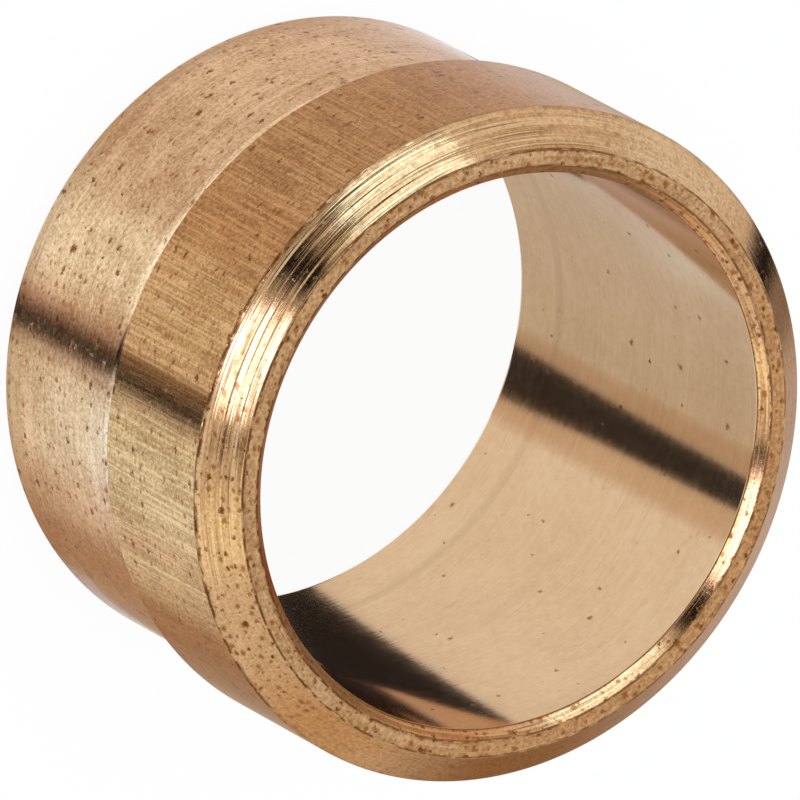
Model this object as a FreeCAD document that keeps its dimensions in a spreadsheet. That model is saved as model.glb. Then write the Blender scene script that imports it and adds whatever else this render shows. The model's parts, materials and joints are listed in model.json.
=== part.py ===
import FreeCAD, Part
import math
import os

import Sketcher

# Compression olive: one turned brass ring that a pipe slides through. It stands on its plain rear end
# with its axis along +Z. A collar stands proud of the front half, and its front edge is a wide cone that
# is pressed into the fitting. Sizes are in millimetres.
SIZES = (
    ("bore_diameter", 15.1, "bore, a sliding fit over a 15 mm pipe"),
    ("rear_wall", 1.11, "wall of the rear section"),
    ("step_height", 0.51, "how far the collar stands proud of the rear section"),
    ("overall_length", 12.35, "end face to end face"),
    ("head_length", 5.4, "collar and front cone together"),
    ("step_run", 0.9, "length of the hollow radius at the foot of the collar"),
    ("cone_depth", 0.9, "length of the front cone along the axis"),
    ("front_land", 0.43, "width of the flat front end face"),
    ("mouth_bevel", 0.27, "bevel where the bore meets the front end face"),
    ("rear_bevel_depth", 0.85, "length of the rear outer bevel along the axis"),
    ("rear_land", 0.3, "width of the flat rear end face"),
    ("rear_edge_break", 0.12, "bevel where the bore meets the rear end face"),
)

START = 1
END = 2
HORIZONTAL_AXIS = -1
ORIGIN = (-1, 1)


def make_sheet(doc):
    """Write every driving size into a spreadsheet, one aliased cell each."""
    sheet = doc.addObject("Spreadsheet::Sheet", "Sizes")
    for row, (alias, value, meaning) in enumerate(SIZES, start=1):
        sheet.set(f"A{row}", meaning)
        sheet.set(f"B{row}", str(value))
        sheet.setAlias(f"B{row}", alias)
    doc.recompute()
    return sheet


def origin_plane(body, role):
    """One of the body's own origin planes, found by its role."""
    return next(plane for plane in body.Origin.OriginFeatures if plane.Role == role)


def section_corners(sheet):
    """Corners of the ring's section as (radius, height), in order round it from the rear end face."""
    bore = sheet.bore_diameter / 2
    rear = bore + sheet.rear_wall
    collar = rear + sheet.step_height
    top = sheet.overall_length
    collar_foot = top - sheet.head_length
    land_inner = bore + sheet.mouth_bevel
    rear_inner = bore + sheet.rear_edge_break
    return {
        "rear_inner": (rear_inner, 0),
        "rear_outer": (rear_inner + sheet.rear_land, 0),
        "rear_wall_low": (rear, sheet.rear_bevel_depth),
        "rear_wall_high": (rear, collar_foot - sheet.step_run),
        "collar_low": (collar, collar_foot),
        "collar_high": (collar, top - sheet.cone_depth),
        "front_outer": (land_inner + sheet.front_land, top),
        "front_inner": (land_inner, top),
        "bore_high": (bore, top - sheet.mouth_bevel),
        "bore_low": (bore, sheet.rear_edge_break),
    }


def step_arc(low, high):
    """Hollow arc that leaves the rear wall straight up at low and ends on the collar's edge at high."""
    height = high[0] - low[0]
    run = high[1] - low[1]
    radius = (run ** 2 + height ** 2) / (2 * height)
    centre = FreeCAD.Vector(low[0] + radius, low[1], 0)
    circle = Part.Circle(centre, FreeCAD.Vector(0, 0, 1), radius)
    return Part.ArcOfCircle(circle, math.pi - math.asin(run / radius), math.pi)


def draw_section(sketch, sheet):
    """Draw the ring's section in the sketch and tie every size of it to the spreadsheet."""
    corners = section_corners(sheet)
    names = list(corners)
    edges = {}
    for name, following in zip(names, names[1:] + names[:1]):
        if name == "rear_wall_high":
            edge = step_arc(corners[name], corners[following])
        else:
            edge = Part.LineSegment(FreeCAD.Vector(*corners[name], 0), FreeCAD.Vector(*corners[following], 0))
        edges[name] = sketch.addGeometry(edge, False)

    # The arc runs anticlockwise, so its start is the collar's edge and its end the top of the rear wall.
    arc = edges["rear_wall_high"]
    point = {name: (edge, START) for name, edge in edges.items()}
    point["rear_wall_high"] = (arc, END)
    for name, following in zip(names, names[1:] + names[:1]):
        if name not in ("rear_wall_low", "rear_wall_high"):
            sketch.addConstraint(Sketcher.Constraint("Coincident", edges[name], END, *point[following]))
    sketch.addConstraint(Sketcher.Constraint("Coincident", arc, START, *point["collar_low"]))
    sketch.addConstraint(Sketcher.Constraint("Tangent", edges["rear_wall_low"], END, arc, END))
    for name in ("rear_inner", "front_outer"):
        sketch.addConstraint(Sketcher.Constraint("Horizontal", edges[name]))
    for name in ("rear_wall_low", "collar_low", "bore_high"):
        sketch.addConstraint(Sketcher.Constraint("Vertical", edges[name]))
    sketch.addConstraint(Sketcher.Constraint("PointOnObject", *point["rear_inner"], HORIZONTAL_AXIS))

    def size(name, direction, first, second, expression):
        begin = ORIGIN if first == "origin" else point[first]
        axis = 0 if direction == "DistanceX" else 1
        start = 0 if first == "origin" else corners[first][axis]
        length = corners[second][axis] - start
        index = sketch.addConstraint(Sketcher.Constraint(direction, *begin, *point[second], length))
        sketch.renameConstraint(index, name)
        sketch.setExpression(f"Constraints.{name}", expression)

    size("bore_radius", "DistanceX", "origin", "bore_low", "Sizes.bore_diameter / 2")
    size("rear_wall", "DistanceX", "bore_low", "rear_wall_low", "Sizes.rear_wall")
    size("step_height", "DistanceX", "rear_wall_high", "collar_low", "Sizes.step_height")
    size("overall_length", "DistanceY", "rear_outer", "front_outer", "Sizes.overall_length")
    size("head_length", "DistanceY", "collar_low", "front_outer", "Sizes.head_length")
    size("step_run", "DistanceY", "rear_wall_high", "collar_low", "Sizes.step_run")
    size("cone_depth", "DistanceY", "collar_high", "front_outer", "Sizes.cone_depth")
    size("front_land", "DistanceX", "front_inner", "front_outer", "Sizes.front_land")
    size("mouth_width", "DistanceX", "bore_high", "front_inner", "Sizes.mouth_bevel")
    size("mouth_depth", "DistanceY", "bore_high", "front_inner", "Sizes.mouth_bevel")
    size("rear_bevel_depth", "DistanceY", "rear_outer", "rear_wall_low", "Sizes.rear_bevel_depth")
    size("rear_land", "DistanceX", "rear_inner", "rear_outer", "Sizes.rear_land")
    size("rear_break_width", "DistanceX", "bore_low", "rear_inner", "Sizes.rear_edge_break")
    size("rear_break_depth", "DistanceY", "rear_inner", "bore_low", "Sizes.rear_edge_break")


def make_ring(doc, sheet):
    """Turn the section round the axis."""
    body = doc.addObject("PartDesign::Body", "OliveRing")
    body.Label = "olive_ring"
    section = body.newObject("Sketcher::SketchObject", "Section")
    section.AttachmentSupport = (origin_plane(body, "XZ_Plane"), [""])
    section.MapMode = "FlatFace"
    draw_section(section, sheet)
    doc.recompute()
    turned = body.newObject("PartDesign::Revolution", "Turned")
    turned.Profile = section
    turned.ReferenceAxis = (section, ["V_Axis"])
    turned.Angle = 360
    doc.recompute()
    return body


def check_document(doc, bodies):
    """Stop if any object failed, any sketch is loose or any body isn't one valid solid."""
    for item in doc.Objects:
        if "Invalid" in item.State or "Error" in item.State:
            raise RuntimeError(f"{item.Name} failed: {item.State}")
        if item.TypeId == "Sketcher::SketchObject" and item.solve() != 0:
            raise RuntimeError(f"{item.Name} doesn't solve")
    for body in bodies:
        if body.Shape.isNull() or not body.Shape.isValid() or len(body.Shape.Solids) != 1:
            raise RuntimeError(f"{body.Label} isn't one valid solid")


def main():
    doc = FreeCAD.newDocument("CompressionOlive")
    sheet = make_sheet(doc)
    bodies = [make_ring(doc, sheet)]
    check_document(doc, bodies)
    os.makedirs("parts", exist_ok=True)
    for body in bodies:
        body.Shape.exportStep(f"parts/{body.Label}.step")
        print(body.Label, "volume", round(body.Shape.Volume, 2), "mm3")


main()
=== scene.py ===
import json
import math

import bmesh
import bpy
from mathutils import Matrix, Vector, noise


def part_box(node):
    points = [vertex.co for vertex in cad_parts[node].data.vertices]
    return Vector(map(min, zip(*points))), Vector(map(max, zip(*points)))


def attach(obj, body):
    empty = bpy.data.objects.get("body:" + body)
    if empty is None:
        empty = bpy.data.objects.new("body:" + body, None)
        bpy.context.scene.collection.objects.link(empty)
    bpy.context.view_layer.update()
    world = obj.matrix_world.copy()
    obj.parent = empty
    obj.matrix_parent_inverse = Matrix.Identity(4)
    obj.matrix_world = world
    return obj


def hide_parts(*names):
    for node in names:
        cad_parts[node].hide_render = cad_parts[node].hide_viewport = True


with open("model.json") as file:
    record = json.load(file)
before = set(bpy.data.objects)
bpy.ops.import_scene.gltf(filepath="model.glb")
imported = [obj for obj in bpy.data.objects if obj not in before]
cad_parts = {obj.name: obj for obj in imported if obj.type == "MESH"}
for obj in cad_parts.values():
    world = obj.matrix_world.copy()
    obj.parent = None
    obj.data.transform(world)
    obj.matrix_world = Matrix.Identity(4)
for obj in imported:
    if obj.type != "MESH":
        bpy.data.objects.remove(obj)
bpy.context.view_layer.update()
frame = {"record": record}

# Sizes in millimetres. The outside and the length are the solid's own, the bore is its mount's.
MM = 0.001
COLLAR_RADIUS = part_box("olive_ring")[1].x / MM
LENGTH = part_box("olive_ring")[1].z / MM
BORE_MOUNT = next(mount for mount in frame["record"]["mounts"] if mount["name"] == "pipe_bore")
BORE_RADIUS = BORE_MOUNT["dims"]["r_mm"]
REAR_RADIUS = 8.66
COLLAR_FOOT = 6.95
STEP_RUN = 0.9
CONE_FOOT = 11.45
CONE_TIP_RADIUS = 8.25
MOUTH_BEVEL = 0.27
REAR_BEVEL = 0.85
REAR_LAND = 0.3
REAR_BREAK = 0.12
EDGE_SOFTNESS = 0.03
LAND_SOFTNESS = 0.05

# How near to its corners a flat surface has a second point, in millimetres, and how many cuts run across the
# cone, along the step's hollow and round the ring.
HOLD = 0.04
CONE_CUTS = 80
HOLLOW_CUTS = 10
AROUND = 600

# How far a point may be off the cone, in millimetres and past its ends as a share of the slant, and still count
# as on it, and how far off the bore or the end face.
CONE_SLACK = 0.02
SLANT_SLACK = 0.05
FACE_SLACK = 0.01

# The camera: how far it leans from the ring's axis and how the ring is turned in the frame, in degrees, its
# lens and sensor in millimetres, and the bore's radius and the front's middle in pixels of the square frame.
LEAN = 35.67
TURN = 28.38
LENS = 1400
SENSOR = 36
FRAME = 800
BORE_IN_FRAME = 289.93
MIDDLE_IN_FRAME = (515.43, 454.29)


def direction(azimuth, elevation):
    """Unit vector for an azimuth from +X towards +Y and an elevation above the floor, in degrees."""
    a, e = math.radians(azimuth), math.radians(elevation)
    return Vector((math.cos(e) * math.cos(a), math.cos(e) * math.sin(a), math.sin(e)))


def near_side(around, azimuth, half, soft):
    """1 where the ring faces an azimuth within a half width in degrees, falling to 0 over the softness."""
    off = math.degrees(around.angle(direction(azimuth, 0)))
    return min(1, max(0, (half + soft - off) / (2 * soft)))


def section_wire(bm):
    """Draw the ring's section as a closed wire in the XZ plane, with its edges slightly rounded."""
    step = COLLAR_RADIUS - REAR_RADIUS
    hollow = (STEP_RUN ** 2 + step ** 2) / (2 * step)
    corners = [
        (BORE_RADIUS + REAR_BREAK, 0),
        (BORE_RADIUS + REAR_BREAK + REAR_LAND, 0),
        (REAR_RADIUS, REAR_BEVEL),
        (REAR_RADIUS, COLLAR_FOOT - STEP_RUN),
        (COLLAR_RADIUS, COLLAR_FOOT),
        (COLLAR_RADIUS, CONE_FOOT),
        (CONE_TIP_RADIUS, LENGTH),
        (BORE_RADIUS + MOUTH_BEVEL, LENGTH),
        (BORE_RADIUS, LENGTH - MOUTH_BEVEL),
        (BORE_RADIUS, REAR_BREAK),
    ]
    points = [bm.verts.new((radius, 0, height)) for radius, height in corners]
    wall_top, cone_tip = points[3], points[6]
    for first, second in zip(points, points[1:] + points[:1]):
        if first is not wall_top:
            bm.edges.new((first, second))
    sharp = [point for point in points if point is not wall_top]
    bmesh.ops.spin(bm, geom=[wall_top], cent=(REAR_RADIUS + hollow, 0, COLLAR_FOOT - STEP_RUN),
                   axis=(0, 1, 0), angle=math.asin(STEP_RUN / hollow), steps=HOLLOW_CUTS)
    bmesh.ops.remove_doubles(bm, verts=bm.verts, dist=1e-4)
    sharp = [point for point in sharp if point.is_valid and point is not cone_tip]
    for geom, offset in ((sharp, EDGE_SOFTNESS), ([cone_tip], LAND_SOFTNESS)):
        bmesh.ops.bevel(bm, geom=geom, offset=offset, segments=3, profile=0.5, affect="VERTICES",
                        material=-1)
    straight = [edge for edge in bm.edges if edge.calc_length() > 4 * HOLD]
    cone = [edge for edge in straight if all(on_cone(point.co) for point in edge.verts)]
    for edge in straight:
        if edge not in cone:
            hold_ends(edge)
    bmesh.ops.subdivide_edges(bm, edges=cone, cuts=CONE_CUTS)


def hold_ends(edge):
    """Add a point near each end of a straight edge, so that its surface shades flat up to its corners."""
    first, last = edge.verts
    held = bmesh.utils.edge_split(edge, first, HOLD / edge.calc_length())[1]
    rest = next(part for part in held.link_edges if last in part.verts)
    bmesh.utils.edge_split(rest, last, HOLD / rest.calc_length())


def on_cone(place):
    """True for a point on the front cone, in millimetres."""
    radius = math.hypot(place.x, place.y)
    slant = (place.z - CONE_FOOT) / (LENGTH - CONE_FOOT)
    line = COLLAR_RADIUS + (CONE_TIP_RADIUS - COLLAR_RADIUS) * slant
    return -SLANT_SLACK < slant < 1 + SLANT_SLACK and abs(radius - line) < CONE_SLACK


# The facets that the cutter left on the cone, from the collar's edge to the end face: where each ends, as a
# share of the slant, and how far it leans outwards, in degrees.
FACETS = ((0.16, 3.5), (0.22, -12.0), (0.40, 0.5), (0.45, -11.0), (0.55, -0.5), (0.60, -10.0), (0.72, 1.0),
          (0.77, -12.0), (0.86, -0.5), (0.90, -9.0), (1.0, -6.0))

# How unevenly each facet leans round the cone, against its lean.
UNEVEN = 0.7

# Where the facets are deepest and where the collar's edge is chipped: azimuth, half width and softness, in
# degrees.
CUT_SIDE = (259, 46, 16)
CHIPPED_SIDE = (284, 50, 12)

# The facets' depth on the far side and what the near side adds, against the facets above. How far they wander,
# slow and fast, and how near to the edges that fades, as shares of the slant.
FAR_DEPTH = 0.06
NEAR_DEPTH = 1.35
SLOW_WANDER = 0.014
FAST_WANDER = 0.006
WANDER_FADE = 0.1

# How deep the chips of the collar's edge and the wear of the end face's edge are, in millimetres, and how far
# they reach, as shares of the slant.
CHIP_DEPTH = 0.09
CHIP_REACH = 0.05
WEAR_DEPTH = 0.02
WEAR_REACH = 0.04


def facet_height(share, around):
    """How high the facets stand at a share of the slant, in slant lengths. They lean unevenly round it."""
    height = begin = 0
    for number, (finish, lean) in enumerate(FACETS):
        uneven = 1 + UNEVEN * noise.noise(around * 3.5 + Vector((0, 0, 5 * number)))
        height += max(0, min(share, finish) - begin) * math.tan(math.radians(lean)) * uneven
        begin = finish
    return height


def cut_cone(bm):
    """Cut the uneven facets round the cone, deepest on one side, and leave its two edges ragged."""
    drop = LENGTH - CONE_FOOT
    fall = COLLAR_RADIUS - CONE_TIP_RADIUS
    slope = math.hypot(drop, fall)
    for point in bm.verts:
        if not on_cone(point.co):
            continue
        around = Vector((point.co.x, point.co.y, 0)).normalized()
        share = min(1, max(0, (point.co.z - CONE_FOOT) / drop))
        wander = SLOW_WANDER * noise.noise(around * 3 + Vector((0, 0, 7)))
        wander += FAST_WANDER * noise.noise(around * 30)
        wander *= min(1, share / WANDER_FADE, (1 - share) / WANDER_FADE)
        height = slope * (facet_height(share + wander, around) - share * facet_height(1, around))
        height *= FAR_DEPTH + NEAR_DEPTH * near_side(around, *CUT_SIDE)
        chipped = CHIP_DEPTH * max(0, 1 - share / CHIP_REACH) * near_side(around, *CHIPPED_SIDE)
        worn = WEAR_DEPTH * max(0, 1 - (1 - share) / WEAR_REACH)
        height += (chipped + worn) * (noise.noise(around * 42) + 0.5 * noise.noise(around * 110))
        point.co += height * (around * drop + Vector((0, 0, fall))) / slope


# The ring's finishes, in the order of its material slots.
REAR, COLLAR, CONE, END, MOUTH, BORE = range(6)


def finish_at(place):
    """Which finish a face has, by the place of its middle in millimetres."""
    radius = math.hypot(place.x, place.y)
    if on_cone(place):
        return CONE
    if radius < BORE_RADIUS + FACE_SLACK:
        return BORE
    if place.z > LENGTH - FACE_SLACK:
        return END
    if radius < BORE_RADIUS + MOUTH_BEVEL and place.z > COLLAR_FOOT:
        return MOUTH
    if place.z > COLLAR_FOOT - CONE_SLACK and radius > REAR_RADIUS:
        return COLLAR if place.z < CONE_FOOT else CONE
    return REAR


def make_ring():
    """Turn the section round the axis, give each face its finish and cut the cone."""
    bm = bmesh.new()
    section_wire(bm)
    bmesh.ops.spin(bm, geom=bm.verts[:] + bm.edges[:], cent=(0, 0, 0), axis=(0, 0, 1), angle=math.tau,
                   steps=AROUND, use_merge=True)
    bmesh.ops.remove_doubles(bm, verts=bm.verts, dist=1e-5)
    bmesh.ops.recalc_face_normals(bm, faces=bm.faces)
    for face in bm.faces:
        face.smooth = True
        face.material_index = finish_at(face.calc_center_median())
    cut_cone(bm)
    bmesh.ops.scale(bm, vec=(MM, MM, MM), verts=bm.verts)
    mesh = bpy.data.meshes.new("turned_ring")
    bm.to_mesh(mesh)
    bm.free()
    ring = bpy.data.objects.new("turned_ring", mesh)
    bpy.context.scene.collection.objects.link(ring)
    return ring


# The tint of what the brass mirrors where it is seen at a glancing angle.
EDGE_TINT = (0.89, 0.79, 0.74, 1)

# Colours of the tool's lines and of what has settled on the brass.
DARK_LINE = (0.20, 0.09, 0.03)
PALE_LINE = (0.74, 0.54, 0.34)
TARNISH = (0.26, 0.09, 0.02)
GRIME = (0.115, 0.04, 0.01)
SKIN = (0.27, 0.115, 0.036)
PIT = (0.16, 0.05, 0.009)

# How often the clouds and smudges of its colour come along a millimetre, and the radius that turns an angle
# round the ring into a length.
CLOUDS_PER_MM = 0.45
SMUDGES_PER_MM = 2.2
MEAN_RADIUS = 8.5

# How deep a pit and a speck are, and how far the pits' pattern is shifted from the specks', in millimetres.
PIT_DEPTH = 0.0015
SPECK_DEPTH = 0.0005
PIT_SHIFT = 40

# How far a speck covers the brass, and how matt a speck, a pit and a brown edge are, from 0 for bare metal
# to 1.
SPECK_COVER = 0.85
SPECK_DULL = 0.15
PIT_DULL = 0.2
RIM_DULL = 0.8


class Wire:
    """A socket of a node tree. Arithmetic on it adds Math nodes."""

    def __init__(self, tree, socket=None):
        self.tree = tree
        self.socket = socket

    def node(self, kind, settings=None, inputs=None, output=0):
        """Add a node: its settings first, then a value or link for each named socket. Gives one output."""
        made = self.tree.nodes.new(kind)
        for name, value in (settings or {}).items():
            setattr(made, name, value)
        for name, value in (inputs or {}).items():
            if isinstance(value, Wire):
                self.tree.links.new(value.socket, made.inputs[name])
            else:
                made.inputs[name].default_value = value
        return Wire(self.tree, made.outputs[output] if len(made.outputs) else None)

    def all_outputs(self):
        """Every output of this socket's node."""
        return [Wire(self.tree, socket) for socket in self.socket.node.outputs]

    def maths(self, operation, *values):
        """A Math node on values or sockets."""
        return self.node("ShaderNodeMath", {"operation": operation}, dict(enumerate(values)))

    def __add__(self, other):
        return self.maths("ADD", self, other)

    def __radd__(self, other):
        return self.maths("ADD", other, self)

    def __sub__(self, other):
        return self.maths("SUBTRACT", self, other)

    def __rsub__(self, other):
        return self.maths("SUBTRACT", other, self)

    def __mul__(self, other):
        return self.maths("MULTIPLY", self, other)

    def __rmul__(self, other):
        return self.maths("MULTIPLY", other, self)

    def __truediv__(self, other):
        return self.maths("DIVIDE", self, other)

    def __rtruediv__(self, other):
        return self.maths("DIVIDE", other, self)

    def blend(self, low, high):
        """0 below low and 1 above high, smooth between. It falls instead where low is the larger."""
        return self.node("ShaderNodeMapRange", {"interpolation_type": "SMOOTHSTEP"},
                         {"Value": self, "From Min": low, "From Max": high})

    def between(self, first, second):
        """Mix of two colours, first where this is 0 and second where it is 1."""
        mixed = [value if isinstance(value, Wire) else (*value, 1) for value in (first, second)]
        return self.node("ShaderNodeMix", {"data_type": "RGBA"},
                         {"Factor": self, 6: mixed[0], 7: mixed[1]}, output=2)

    def tinted(self, colour, tint):
        """A colour multiplied by a tint where this is 1."""
        first = colour if isinstance(colour, Wire) else (*colour, 1)
        return self.node("ShaderNodeMix", {"data_type": "RGBA", "blend_type": "MULTIPLY"},
                         {"Factor": self, 6: first, 7: (*tint, 1)}, output=2)


def new_tree(block):
    """An emptied node tree to build a material or the world in."""
    block.use_nodes = True
    block.node_tree.nodes.clear()
    return Wire(block.node_tree)


def spots(sweep, run, ragged, per_mm, share, largest, drawn=0.76):
    """1 inside small ragged spots.

    per_mm is how many places for a spot there are along a millimetre, share how many of them hold one and
    largest the largest half width in millimetres. drawn is how close the places are round the ring against
    across it. Where the places are far apart, the spots are less ragged."""
    grid = sweep.node("ShaderNodeCombineXYZ", {}, {0: sweep * (per_mm * drawn), 1: run * per_mm})
    rough = min(1, per_mm / 2)
    grid = sweep.node("ShaderNodeVectorMath", {"operation": "MULTIPLY_ADD"}, {
        0: ragged, 1: (rough, rough, 0), 2: grid})
    near, chance = sweep.node("ShaderNodeTexVoronoi", {"voronoi_dimensions": "2D"},
                              {"Vector": grid, "Scale": 1}).all_outputs()[:2]
    luck = sweep.node("ShaderNodeSeparateColor", {}, {0: chance})
    size = (luck - (1 - share)) / share
    size = size.maths("POWER", size.maths("MAXIMUM", size, 0), 1.6) * (largest * per_mm)
    return (near / (size + 0.0004)).blend(1.25, 0.3)


def brass(name, pale, deep, roughness, run, grain, lines, tarnish, pits, stain=0, worked=(), spotted=(),
          painted_reflections_and_shade=(), rims=(), skin=()):
    """Brass as a tool and the years left it, plus painted reflections and shade, from these values, all lengths
    in millimetres.

    run: how the distance across the surface grows with height and with radius.
    grain: how fine the mottling is, how much of the tone it makes, how soft that tone is and how deep it is.
    lines: the tool's lines, as how often they change round the ring and across it, how often they break, how
    wide, dark, light and deep they are, how much they ripple the surface and how much of the tone they make.
    tarnish, pits: brown specks and dark pits, as for spots.
    stain: how brown its smudges are.
    worked, spotted: where the lines and the spots are, as azimuth, half width and softness in degrees, and the
    share left elsewhere.
    patches: painted reflections and shade, each tinting one side of the ring lighter or darker to stand in for
    what the brass mirrors there, as azimuth, half width and softness in degrees, the runs where it starts and
    where it is full, and the tint.
    rims: each is a brown edge, as its run, its half width, how brown it is, and where it is broken into dashes
    as for worked, or nothing if it is patchy all round.
    skin: each is a dull brown skin, as azimuth, half width and softness in degrees, and its strength."""
    material = bpy.data.materials.new(name)
    nodes = new_tree(material)
    metres = nodes.node("ShaderNodeTexCoord", output="Object")
    place = nodes.node("ShaderNodeVectorMath", {"operation": "SCALE"}, {0: metres, "Scale": 1 / MM})
    x, y, z = nodes.node("ShaderNodeSeparateXYZ", {}, {0: place}).all_outputs()
    radius = x.maths("SQRT", x * x + y * y)
    side_x, side_y = x / radius, y / radius
    sweep = y.maths("ARCTAN2", y, x) * MEAN_RADIUS
    across = z * run[0] + radius * run[1]

    def beside(azimuth, half, soft):
        """1 on the side of the ring that faces an azimuth, 0 elsewhere."""
        a = math.radians(azimuth)
        facing = side_x * math.cos(a) + side_y * math.sin(a)
        outer, inner = math.radians(half + soft), math.radians(max(0, half - soft))
        return facing.blend(math.cos(outer), math.cos(inner))

    def share_at(side):
        """1 on a side of the ring and its share elsewhere, or 1 all round if there is no side."""
        return side[3] + (1 - side[3]) * beside(*side[:3]) if side else 1

    def stretched(often_round, often_across):
        """Noise drawn out along the surface or round it."""
        ways = nodes.node("ShaderNodeCombineXYZ", {}, {
            0: side_x * often_round, 1: side_y * often_round, 2: across * often_across})
        return nodes.node("ShaderNodeTexNoise", {}, {"Vector": ways, "Scale": 1, "Detail": 1})

    def mottled(often):
        """Fine noise, as often along a millimetre."""
        return nodes.node("ShaderNodeTexNoise", {}, {
            "Vector": place, "Scale": often, "Detail": 5, "Roughness": 0.72})

    fine, fine_share, softness, fine_depth = grain
    mottle, tints = mottled(fine).all_outputs()[:2]
    cloud = mottled(CLOUDS_PER_MM)
    cut = share_at(worked)
    level = stretched(*lines["often"])
    ripple = (level - 0.5) * cut
    tone = mottle * fine_share + cloud * (1 - fine_share) + ripple * lines["tone"]
    colour = tone.blend(0.5 - softness, 0.5 + softness).between(deep, pale)
    # Painted reflections and shade: each of the patches tints one side of the ring lighter or darker, standing
    # in for what the brass mirrors there.
    for azimuth, half, soft, begin, full, tint in painted_reflections_and_shade:
        colour = (beside(azimuth, half, soft) * across.blend(begin, full)).tinted(colour, tint)

    whole = stretched(*lines["breaks"]).blend(0.34, 0.66) * cut
    width = lines["width"]
    groove = level.maths("ABSOLUTE", level - 0.5).blend(width, width * 0.2) * whole
    ridge = level.maths("ABSOLUTE", level - 0.6).blend(width, width * 0.2) * whole
    colour = (groove * lines["dark"]).between(colour, DARK_LINE)
    colour = (ridge * lines["light"]).between(colour, PALE_LINE)

    smudge = mottled(SMUDGES_PER_MM).blend(0.58, 0.74)
    colour = (smudge * stain).between(colour, TARNISH)
    ragged = nodes.node("ShaderNodeVectorMath", {"operation": "MULTIPLY_ADD"}, {
        0: tints, 1: (0.9, 0.9, 0), 2: (-0.45, -0.45, 0)})
    left = share_at(spotted)
    speck = spots(sweep, across, ragged, *tarnish) * left
    pit = spots(sweep, across + PIT_SHIFT, ragged, *pits) * left
    dull = speck.maths("MAXIMUM", speck * SPECK_DULL, pit * PIT_DULL)
    for azimuth, half, soft, strength in skin:
        taken = beside(azimuth, half, soft) * strength
        colour = taken.between(colour, SKIN)
        dull = dull.maths("MAXIMUM", dull, taken)
    colour = (speck * SPECK_COVER).between(colour, TARNISH)
    colour = pit.between(colour, PIT)
    # What breaks up the brown edges.
    patchy = (mottle * 0.5 + cloud * 0.5).blend(0.4, 0.56)
    dashes = (stretched(22, 2) * 0.55 + mottle * 0.45).blend(0.40, 0.53)
    for where, half, brown, side in rims:
        off = across.maths("ABSOLUTE", across + (mottle - 0.5) * (half * 1.2) - where)
        edge = off.blend(half, half * 0.2) * brown
        if side:
            edge = edge * dashes * share_at(side)
            dull = dull.maths("MAXIMUM", dull, edge * RIM_DULL)
        else:
            edge = edge * patchy
        colour = edge.between(colour, GRIME)

    height = mottle * fine_depth + ripple * lines["ripple"] - groove * lines["depth"]
    relief = nodes.node("ShaderNodeBump", {}, {
        "Strength": 1.0, "Distance": MM, "Height": height - pit * PIT_DEPTH - speck * SPECK_DEPTH})
    shader = nodes.node("ShaderNodeBsdfPrincipled", {}, {
        "Base Color": colour, "Metallic": 1 - dull, "Specular Tint": EDGE_TINT, "Specular IOR Level": 0.0,
        "Normal": relief, "Roughness": roughness + (mottle - 0.5) * 0.08 + dull * 0.2})
    nodes.node("ShaderNodeOutputMaterial", {}, {"Surface": shader})
    return material


# What the brass mirrors of the pale studio round it: each place's azimuth and elevation, its half width across
# and up and how far it is turned, in degrees, its softness against its size, and its level against plain white.
STUDIO = (
    ("gap beside the camera", 252.3, 36, 7.0, 16, 0, 0.25, (0.0, 0.0, 0.0)),
    ("dusk by the gap beside the camera", 263.0, 36, 3.8, 12, 0, 0.6, (0.46, 0.37, 0.3)),
    ("dim low by the gap", 242, 24, 13, 5, 0, 0.4, (0.12, 0.09, 0.07)),
    ("dim above the left box", 222, 57, 22, 9, 0, 0.4, (0.2, 0.15, 0.11)),
    ("gap right of the box", 308.8, 35, 4.4, 9, 0, 0.45, (0.16, 0.14, 0.14)),
    ("right of the camera", 334, 28, 11, 10, 0, 0.8, (1.42, 1.5, 1.38)),
    ("gap behind", 117.8, -16.3, 4.4, 12, 37, 0.3, (0.0, 0.0, 0.0)),
    ("dusk by the gap behind", 110.5, -21.2, 4.4, 10, 37, 0.7, (0.38, 0.32, 0.28)),
    ("behind on the right", 102, -28, 8, 8, 0, 0.8, (0.74, 0.70, 0.68)),
    ("pale behind", 144, 0, 17, 17, 0, 0.6, (1.12, 1.22, 1.37)),
    ("low behind", 65, -20, 20, 20, 0, 0.8, (0.42, 0.285, 0.175)),
    ("right side", 29, 5, 17, 16, 0, 0.8, (0.84, 0.68, 0.53)),
    ("overhead", 90, 54, 20, 20, 0, 1.0, (0.87, 0.87, 0.87)),
    ("gap below", 309.6, -55, 2.0, 20, 0, 0.35, (0.2, 0.19, 0.2)),
    ("dusk by the gap below", 309.0, -55, 3.6, 20, 0, 0.2, (0.44, 0.4, 0.38)),
    ("gap under the step", 319.5, -68.5, 2.6, 10, 30, 0.35, (0.1, 0.09, 0.08)),
    ("pale under the step", 270, -87, 23, 23, 0, 0.2, (1.25, 1.35, 1.45)),
    ("pale below in front", 276, -55, 9, 14, 0, 0.7, (1.25, 1.45, 1.55)),
    ("pale below at the right", 339, -55, 11, 14, 0, 0.7, (1.15, 1.36, 1.5)),
    ("dim below at the right", 66, -55, 27, 22, 0, 0.35, (0.60, 0.46, 0.32)),
)


def place_in(way, azimuth, elevation, across, upwards, turn, soft):
    """1 for directions inside a soft ellipse of the studio, 0 outside it."""
    level = Vector((0, 0, 1)).cross(direction(azimuth, elevation)).normalized()
    rising = direction(azimuth, elevation).cross(level)
    a = math.radians(turn)
    axes = ((math.cos(a) * level + math.sin(a) * rising) / math.sin(math.radians(across)),
            (math.cos(a) * rising - math.sin(a) * level) / math.sin(math.radians(upwards)))
    dots = [way.node("ShaderNodeVectorMath", {"operation": "DOT_PRODUCT"}, {0: way, 1: axis},
                     output="Value") for axis in (*axes, direction(azimuth, elevation))]
    off = way.maths("SQRT", dots[0] * dots[0] + dots[1] * dots[1])
    return off.blend(1 + soft, max(0, 1 - soft)) * dots[2].blend(0, 0.2)


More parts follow.
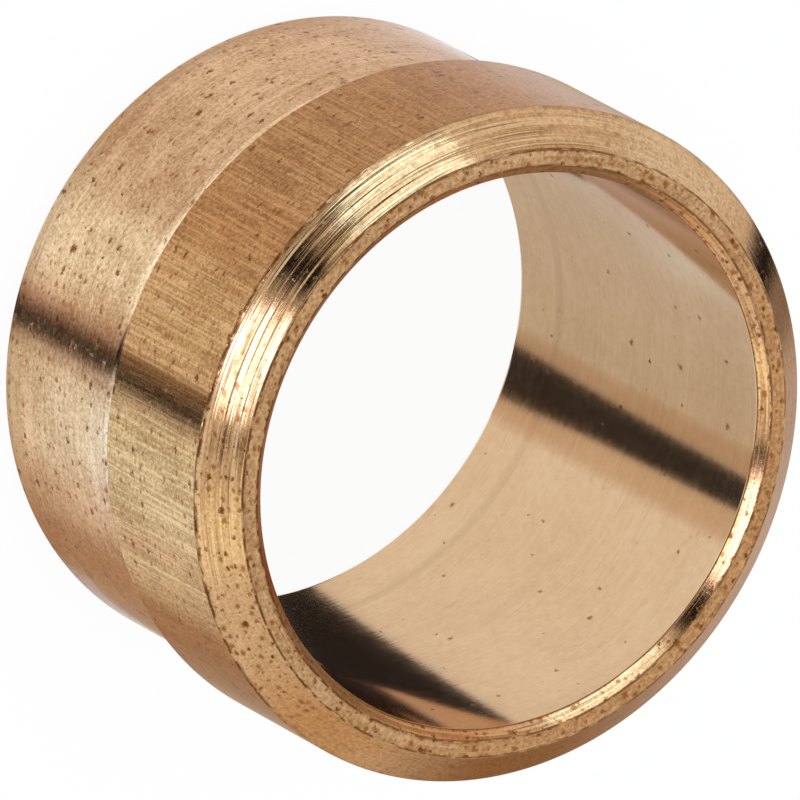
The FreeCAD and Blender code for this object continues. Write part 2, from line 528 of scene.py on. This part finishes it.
def make_world():
    """A pale studio: white to the camera, with soft darker and lighter places where metal mirrors it."""
    world = bpy.data.worlds.new("pale_studio")
    bpy.context.scene.world = world
    nodes = new_tree(world)
    way = nodes.node("ShaderNodeTexCoord", output="Generated")
    mirrored = (1, 1, 1)
    for _, *shape, level in STUDIO:
        mirrored = place_in(way, *shape).tinted(mirrored, level)
    camera_ray = nodes.node("ShaderNodeLightPath")
    rays = {wire.socket.name: wire for wire in camera_ray.all_outputs()}
    shows = camera_ray.maths("MAXIMUM", rays["Is Glossy Ray"], rays["Is Transmission Ray"])
    colour = shows.between((1, 1, 1), mirrored)
    shown = nodes.node("ShaderNodeBackground", {}, {"Color": colour, "Strength": 1.0})
    nodes.node("ShaderNodeOutputWorld", {}, {"Surface": shown})


# Cards under the bore, which only metal mirrors: their level at the end nearer the camera and at the far end,
# and the places on the bore's wall where the camera sees their corners, as azimuth in degrees and height.
# CARD_DEPTH is the height of all of them and CARD_RUN where their level begins and ends to change along Y.
CARD_DEPTH = -12
CARD_RUN = (-8, 11)
CARDS = (
    ("bore_front_card", (1.0, 0.98, 0.95), (1.0, 0.98, 0.95),
     ((33.5, 16), (35.1, 13), (36.7, 9), (39.2, 4.5), (41.7, 1.2), (43.7, -1), (60, -1), (80, -1),
      (98.2, -1), (98.7, 1.5), (100.7, 12), (101.4, 17), (80, 16), (60, 16), (46, 16))),
    ("bore_gap_card", (0.04, 0.035, 0.035), (0.04, 0.035, 0.035),
     ((98.3, -1), (98.8, 1.5), (100.8, 12), (101.5, 17), (107.0, 17), (107.7, 12), (109.3, 1.5),
      (109.8, -1))),
    ("bore_side_card", (0.69, 0.635, 0.56), (0.75, 0.76, 0.76),
     ((109.9, -1), (109.4, 1.5), (107.8, 12), (107.1, 17), (120, 16), (135, 15), (146, 12.6), (154, 10),
      (162, 7.3), (162, 5.2), (155, 2.6), (150, 0.9), (145, -0.8), (128, -1))),
    ("bore_floor_card", (0.028, 0.025, 0.026), (0.028, 0.025, 0.026),
     ((43.6, -1), (41.6, 1.2), (39.1, 4.5), (36.6, 9), (35.0, 13), (33.4, 16), (28, 11.5), (18, 7.5),
      (16, 5.6), (20, 3.6), (25, 1.9), (30, 0.2), (35, -1.4), (39, -2))),
)


def card_place(azimuth, height):
    """The point of the cards' plane that the camera sees mirrored at a place on the bore's wall."""
    wall = direction(azimuth, 0) * BORE_RADIUS
    reach = (height - CARD_DEPTH) * math.tan(math.radians(LEAN))
    return wall + direction(2 * azimuth + 90, 0) * reach + Vector((0, 0, CARD_DEPTH))


def make_cards():
    """Lay the cards that the bore mirrors. The camera doesn't see them, and they light nothing matt."""
    for name, near, far, corners in CARDS:
        bm = bmesh.new()
        points = [bm.verts.new(card_place(*corner) * MM) for corner in corners]
        sides = [bm.edges.new(pair) for pair in zip(points, points[1:] + points[:1])]
        bmesh.ops.triangle_fill(bm, use_beauty=True, edges=sides)
        mesh = bpy.data.meshes.new(name)
        bm.to_mesh(mesh)
        bm.free()
        card = bpy.data.objects.new(name, mesh)
        bpy.context.scene.collection.objects.link(card)
        card.visible_camera = card.visible_diffuse = card.visible_shadow = False
        card.visible_transmission = card.visible_volume_scatter = False
        material = bpy.data.materials.new(name)
        nodes = new_tree(material)
        metres = nodes.node("ShaderNodeTexCoord", output="Object")
        y = nodes.node("ShaderNodeSeparateXYZ", {}, {0: metres}, output="Y")
        level = y.blend(CARD_RUN[0] * MM, CARD_RUN[1] * MM).between(near, far)
        glow = nodes.node("ShaderNodeEmission", {}, {"Color": level, "Strength": 1})
        nodes.node("ShaderNodeOutputMaterial", {}, {"Surface": glow})
        mesh.materials.append(material)


# The share of the floor's white that the camera sees whatever the light. The rest takes light and shadow.
FLOOR_WHITE = 0.94


def make_floor():
    """A plain white floor that keeps the ring's soft shadow."""
    bm = bmesh.new()
    bmesh.ops.create_grid(bm, x_segments=1, y_segments=1, size=3)
    mesh = bpy.data.meshes.new("floor")
    bm.to_mesh(mesh)
    bm.free()
    floor = bpy.data.objects.new("floor", mesh)
    bpy.context.scene.collection.objects.link(floor)
    floor.visible_glossy = False
    material = bpy.data.materials.new("white_floor")
    nodes = new_tree(material)
    lit = nodes.node("ShaderNodeBsdfDiffuse", {}, {"Color": (0.9, 0.9, 0.9, 1)})
    white = nodes.node("ShaderNodeEmission", {}, {"Color": (1, 1, 1, 1), "Strength": 1})
    camera_ray = nodes.node("ShaderNodeLightPath")
    surface = nodes.node("ShaderNodeMixShader", {}, {0: camera_ray * FLOOR_WHITE, 1: lit, 2: white})
    nodes.node("ShaderNodeOutputMaterial", {}, {"Surface": surface})
    mesh.materials.append(material)


# How far the lamps stand from the front of the ring, in metres.
LAMP_REACH = 0.4


def soft_box(name, azimuth, elevation, half, level, colour):
    """A round lamp that faces the ring, with its half width in degrees and its level against plain white."""
    lamp = bpy.data.lights.new(name, "AREA")
    lamp.shape = "DISK"
    lamp.size = 2 * LAMP_REACH * math.tan(math.radians(half))
    lamp.color = colour
    lamp.energy = level * math.pi * math.pi * lamp.size ** 2 / 4
    box = bpy.data.objects.new(name, lamp)
    bpy.context.scene.collection.objects.link(box)
    way = direction(azimuth, elevation)
    box.location = way * LAMP_REACH + Vector((0, 0, LENGTH * MM))
    box.rotation_euler = way.to_track_quat("Z", "Y").to_euler()


def make_camera():
    """The camera of the photo."""
    lean, turn = math.radians(LEAN), math.radians(TURN)
    per_mm = BORE_IN_FRAME / BORE_RADIUS
    depth = LENS / SENSOR * FRAME / per_mm
    sky = Vector((0, math.cos(lean), math.sin(lean)))
    side = Vector((1, 0, 0))
    back = Vector((0, -math.sin(lean), math.cos(lean)))
    right = math.cos(turn) * sky - math.sin(turn) * side
    up = -math.sin(turn) * sky - math.cos(turn) * side
    off_right, off_down = ((pixel - FRAME / 2) / per_mm for pixel in MIDDLE_IN_FRAME)
    aim = Vector((0, 0, LENGTH)) - off_right * right + off_down * up
    eye = (aim + depth * back) * MM
    data = bpy.data.cameras.new("camera")
    data.lens, data.sensor_width = LENS, SENSOR
    data.clip_start, data.clip_end = 0.05, 20
    camera = bpy.data.objects.new("camera", data)
    bpy.context.scene.collection.objects.link(camera)
    turned = Matrix((right, up, back)).transposed().to_4x4()
    camera.matrix_world = Matrix.Translation(eye) @ turned
    bpy.context.scene.camera = camera


ring = make_ring()

# Runs that spread a painted tint of light and shade all across the surface, and the sides where brown edges are
# broken into dashes.
ANYWHERE = (-99, -98)
CHIPPED = (295, 55, 12, 0.3)
ALL_ROUND = (300, 60, 20, 0.85)
for made in (
    brass("rear_skin", pale=(0.79, 0.525, 0.31), deep=(0.42, 0.222, 0.098), roughness=0.10, run=(1, -0.3),
          grain=(10, 0.62, 0.145, 0.0006),
          lines={"often": (2, 6), "breaks": (5, 2), "width": 0.02, "dark": 0.35, "light": 0.2,
                 "depth": 0.0002, "ripple": 0.002, "tone": 0.15},
          tarnish=(3.4, 0.8, 0.075), pits=(2.2, 0.65, 0.105), stain=0.45, rims=((-1.75, 1.0, 0.3, ()),),
          # Painted reflections and shade on the rear: pale cool sides near the step, a darker warmer foot on
          # one side, dark strips beside the mirrored dark band, a pale limb and a pale line along the step's
          # hollow.
          painted_reflections_and_shade=((309, 17, 10, 0.0, 3.6, (1.0, 1.04, 1.08)), (305, 12, 6, 1.9, 3.0, (1.06, 1.12, 1.25)),
                   (312, 13, 8, 0.2, -1.4, (0.9, 0.82, 0.7)),
                   (286.3, 0.9, 2.5, *ANYWHERE, (0.72, 0.62, 0.6)),
                   (293, 1.5, 1.5, *ANYWHERE, (0.8, 0.76, 0.75)), (186, 6, 5, *ANYWHERE, (0.94, 1.03, 1.1)),
                   (248, 30, 10, 3.29, 3.42, (1.22, 1.36, 1.5)),
                   (305, 14, 8, 3.29, 3.42, (1.15, 1.25, 1.36)))),
    brass("drawn_collar", pale=(0.60, 0.33, 0.14), deep=(0.27, 0.116, 0.038), roughness=0.11, run=(1, 0),
          grain=(11, 0.75, 0.18, 0.0007),
          lines={"often": (115, 0.3), "breaks": (30, 1.0), "width": 0.045, "dark": 0.4, "light": 0.16,
                 "depth": 0.0003, "ripple": 0.0008, "tone": 0.34},
          tarnish=(4.0, 0.75, 0.075), pits=(2.1, 0.55, 0.095), stain=0.35, worked=(278, 52, 18, 0.35),
          rims=((11.45, 0.09, 1.0, CHIPPED),),
          # Painted reflections and shade on the collar: darker sides, pale cool sides and a pale cool limb, and
          # a dark strip with a pale one beside it at the edge of the mirrored dark band.
          painted_reflections_and_shade=((222, 16, 12, *ANYWHERE, (0.91, 0.85, 0.8)), (264, 8, 7, *ANYWHERE, (0.96, 0.89, 0.85)),
                   (310, 20, 7, *ANYWHERE, (1.28, 1.54, 1.82)),
                   (324, 4.5, 2.0, *ANYWHERE, (1.18, 1.34, 1.42)),
                   (286.7, 0.6, 1.1, *ANYWHERE, (0.65, 0.58, 0.5)),
                   (282.9, 1.2, 1.6, *ANYWHERE, (1.2, 1.3, 1.42)), (337, 6, 4, *ANYWHERE, (1.12, 1.14, 1.12)),
                   (354, 6, 5, *ANYWHERE, (0.86, 0.74, 0.62)), (185, 6, 5, *ANYWHERE, (1.3, 1.5, 1.72)))),
    brass("cut_cone", pale=(0.71, 0.455, 0.235), deep=(0.43, 0.233, 0.102), roughness=0.11, run=(0.7, -0.7),
          grain=(11, 0.75, 0.19, 0.001),
          lines={"often": (1.2, 10), "breaks": (4, 4), "width": 0.05, "dark": 0.85, "light": 0.5,
                 "depth": 0.002, "ripple": 0.001, "tone": 0.5},
          tarnish=(4.8, 0.85, 0.1), pits=(3.2, 0.7, 0.09), worked=(252, 56, 20, 0.15),
          spotted=(314, 32, 10, 0.35),
          rims=((2.87, 0.06, 1.0, ALL_ROUND), (1.596, 0.12, 1.0, CHIPPED))),
    brass("end_face", pale=(0.76, 0.485, 0.255), deep=(0.35, 0.165, 0.058), roughness=0.2, run=(0, -1),
          grain=(8, 0.75, 0.2, 0.0008),
          lines={"often": (1.2, 8), "breaks": (4, 4), "width": 0.03, "dark": 0.4, "light": 0.3,
                 "depth": 0.0006, "ripple": 0.0006, "tone": 0.2},
          tarnish=(5.0, 0.6, 0.1), pits=(3.4, 0.6, 0.085), stain=0.5,
          rims=((-8.25, 0.07, 1.0, ALL_ROUND), (-7.82, 0.07, 1.0, ALL_ROUND)),
          # Painted shade: one side of the end face a little darker and warmer.
          painted_reflections_and_shade=((80, 70, 25, *ANYWHERE, (0.97, 0.88, 0.80)),)),
    brass("mouth_bevel", pale=(0.72, 0.445, 0.235), deep=(0.42, 0.205, 0.077), roughness=0.13,
          run=(0.7, 0.7), grain=(11, 0.75, 0.18, 0.001),
          lines={"often": (1.2, 14), "breaks": (5, 6), "width": 0.05, "dark": 0.75, "light": 0.35,
                 "depth": 0.0008, "ripple": 0.0008, "tone": 0.6},
          tarnish=(4.8, 0.8, 0.1), pits=(3.4, 0.6, 0.08),
          rims=((14.12, 0.065, 1.0, ALL_ROUND), (13.74, 0.06, 0.8, ALL_ROUND)),
          # Painted reflections and shade on the mouth bevel: two sides darker and browner, the one near azimuth
          # 285 strongly.
          painted_reflections_and_shade=((8, 22, 14, *ANYWHERE, (0.76, 0.56, 0.42)),
                   (285, 40, 20, *ANYWHERE, (0.62, 0.42, 0.26))),
          skin=((198, 22, 10, 0.6), (346, 18, 10, 0.5), (278, 18, 12, 0.6))),
    brass("bore_skin", pale=(0.725, 0.52, 0.325), deep=(0.635, 0.435, 0.26), roughness=0.10, run=(1, 0),
          grain=(4, 0.5, 0.17, 0.0003),
          lines={"often": (1.2, 9), "breaks": (4, 2), "width": 0.02, "dark": 0.12, "light": 0.1,
                 "depth": 0.0001, "ripple": 0.0008, "tone": 0.2},
          tarnish=(0.9, 0.4, 0.11, 1.1), pits=(0.7, 0.2, 0.075, 1.2), stain=0.2,
          rims=((2.1, 0.3, 0.15, ()),),
          # Painted reflections on the bore: a pale cool side that grows towards the mouth, and darker strips at
          # the edges of where the bore mirrors the dark gap card.
          painted_reflections_and_shade=((160, 14, 6, 6.5, 9.5, (1.15, 1.3, 1.45)),
                   (98.5, 0.5, 5.5, *ANYWHERE, (0.8, 0.68, 0.58)),
                   (110.5, 0.5, 3.5, *ANYWHERE, (0.9, 0.78, 0.7)))),
):
    ring.data.materials.append(made)
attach(ring, "root")
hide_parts("olive_ring")

make_floor()
make_world()
make_cards()
soft_box("box_by_camera", 283.8, 36, 15.4, 3.2, (0.92, 1.0, 1.36))
soft_box("box_at_left", 213.5, 31, 19.2, 1.5, (0.68, 1.09, 1.48))
make_camera()
scene = bpy.context.scene
scene.view_settings.view_transform = "Standard"
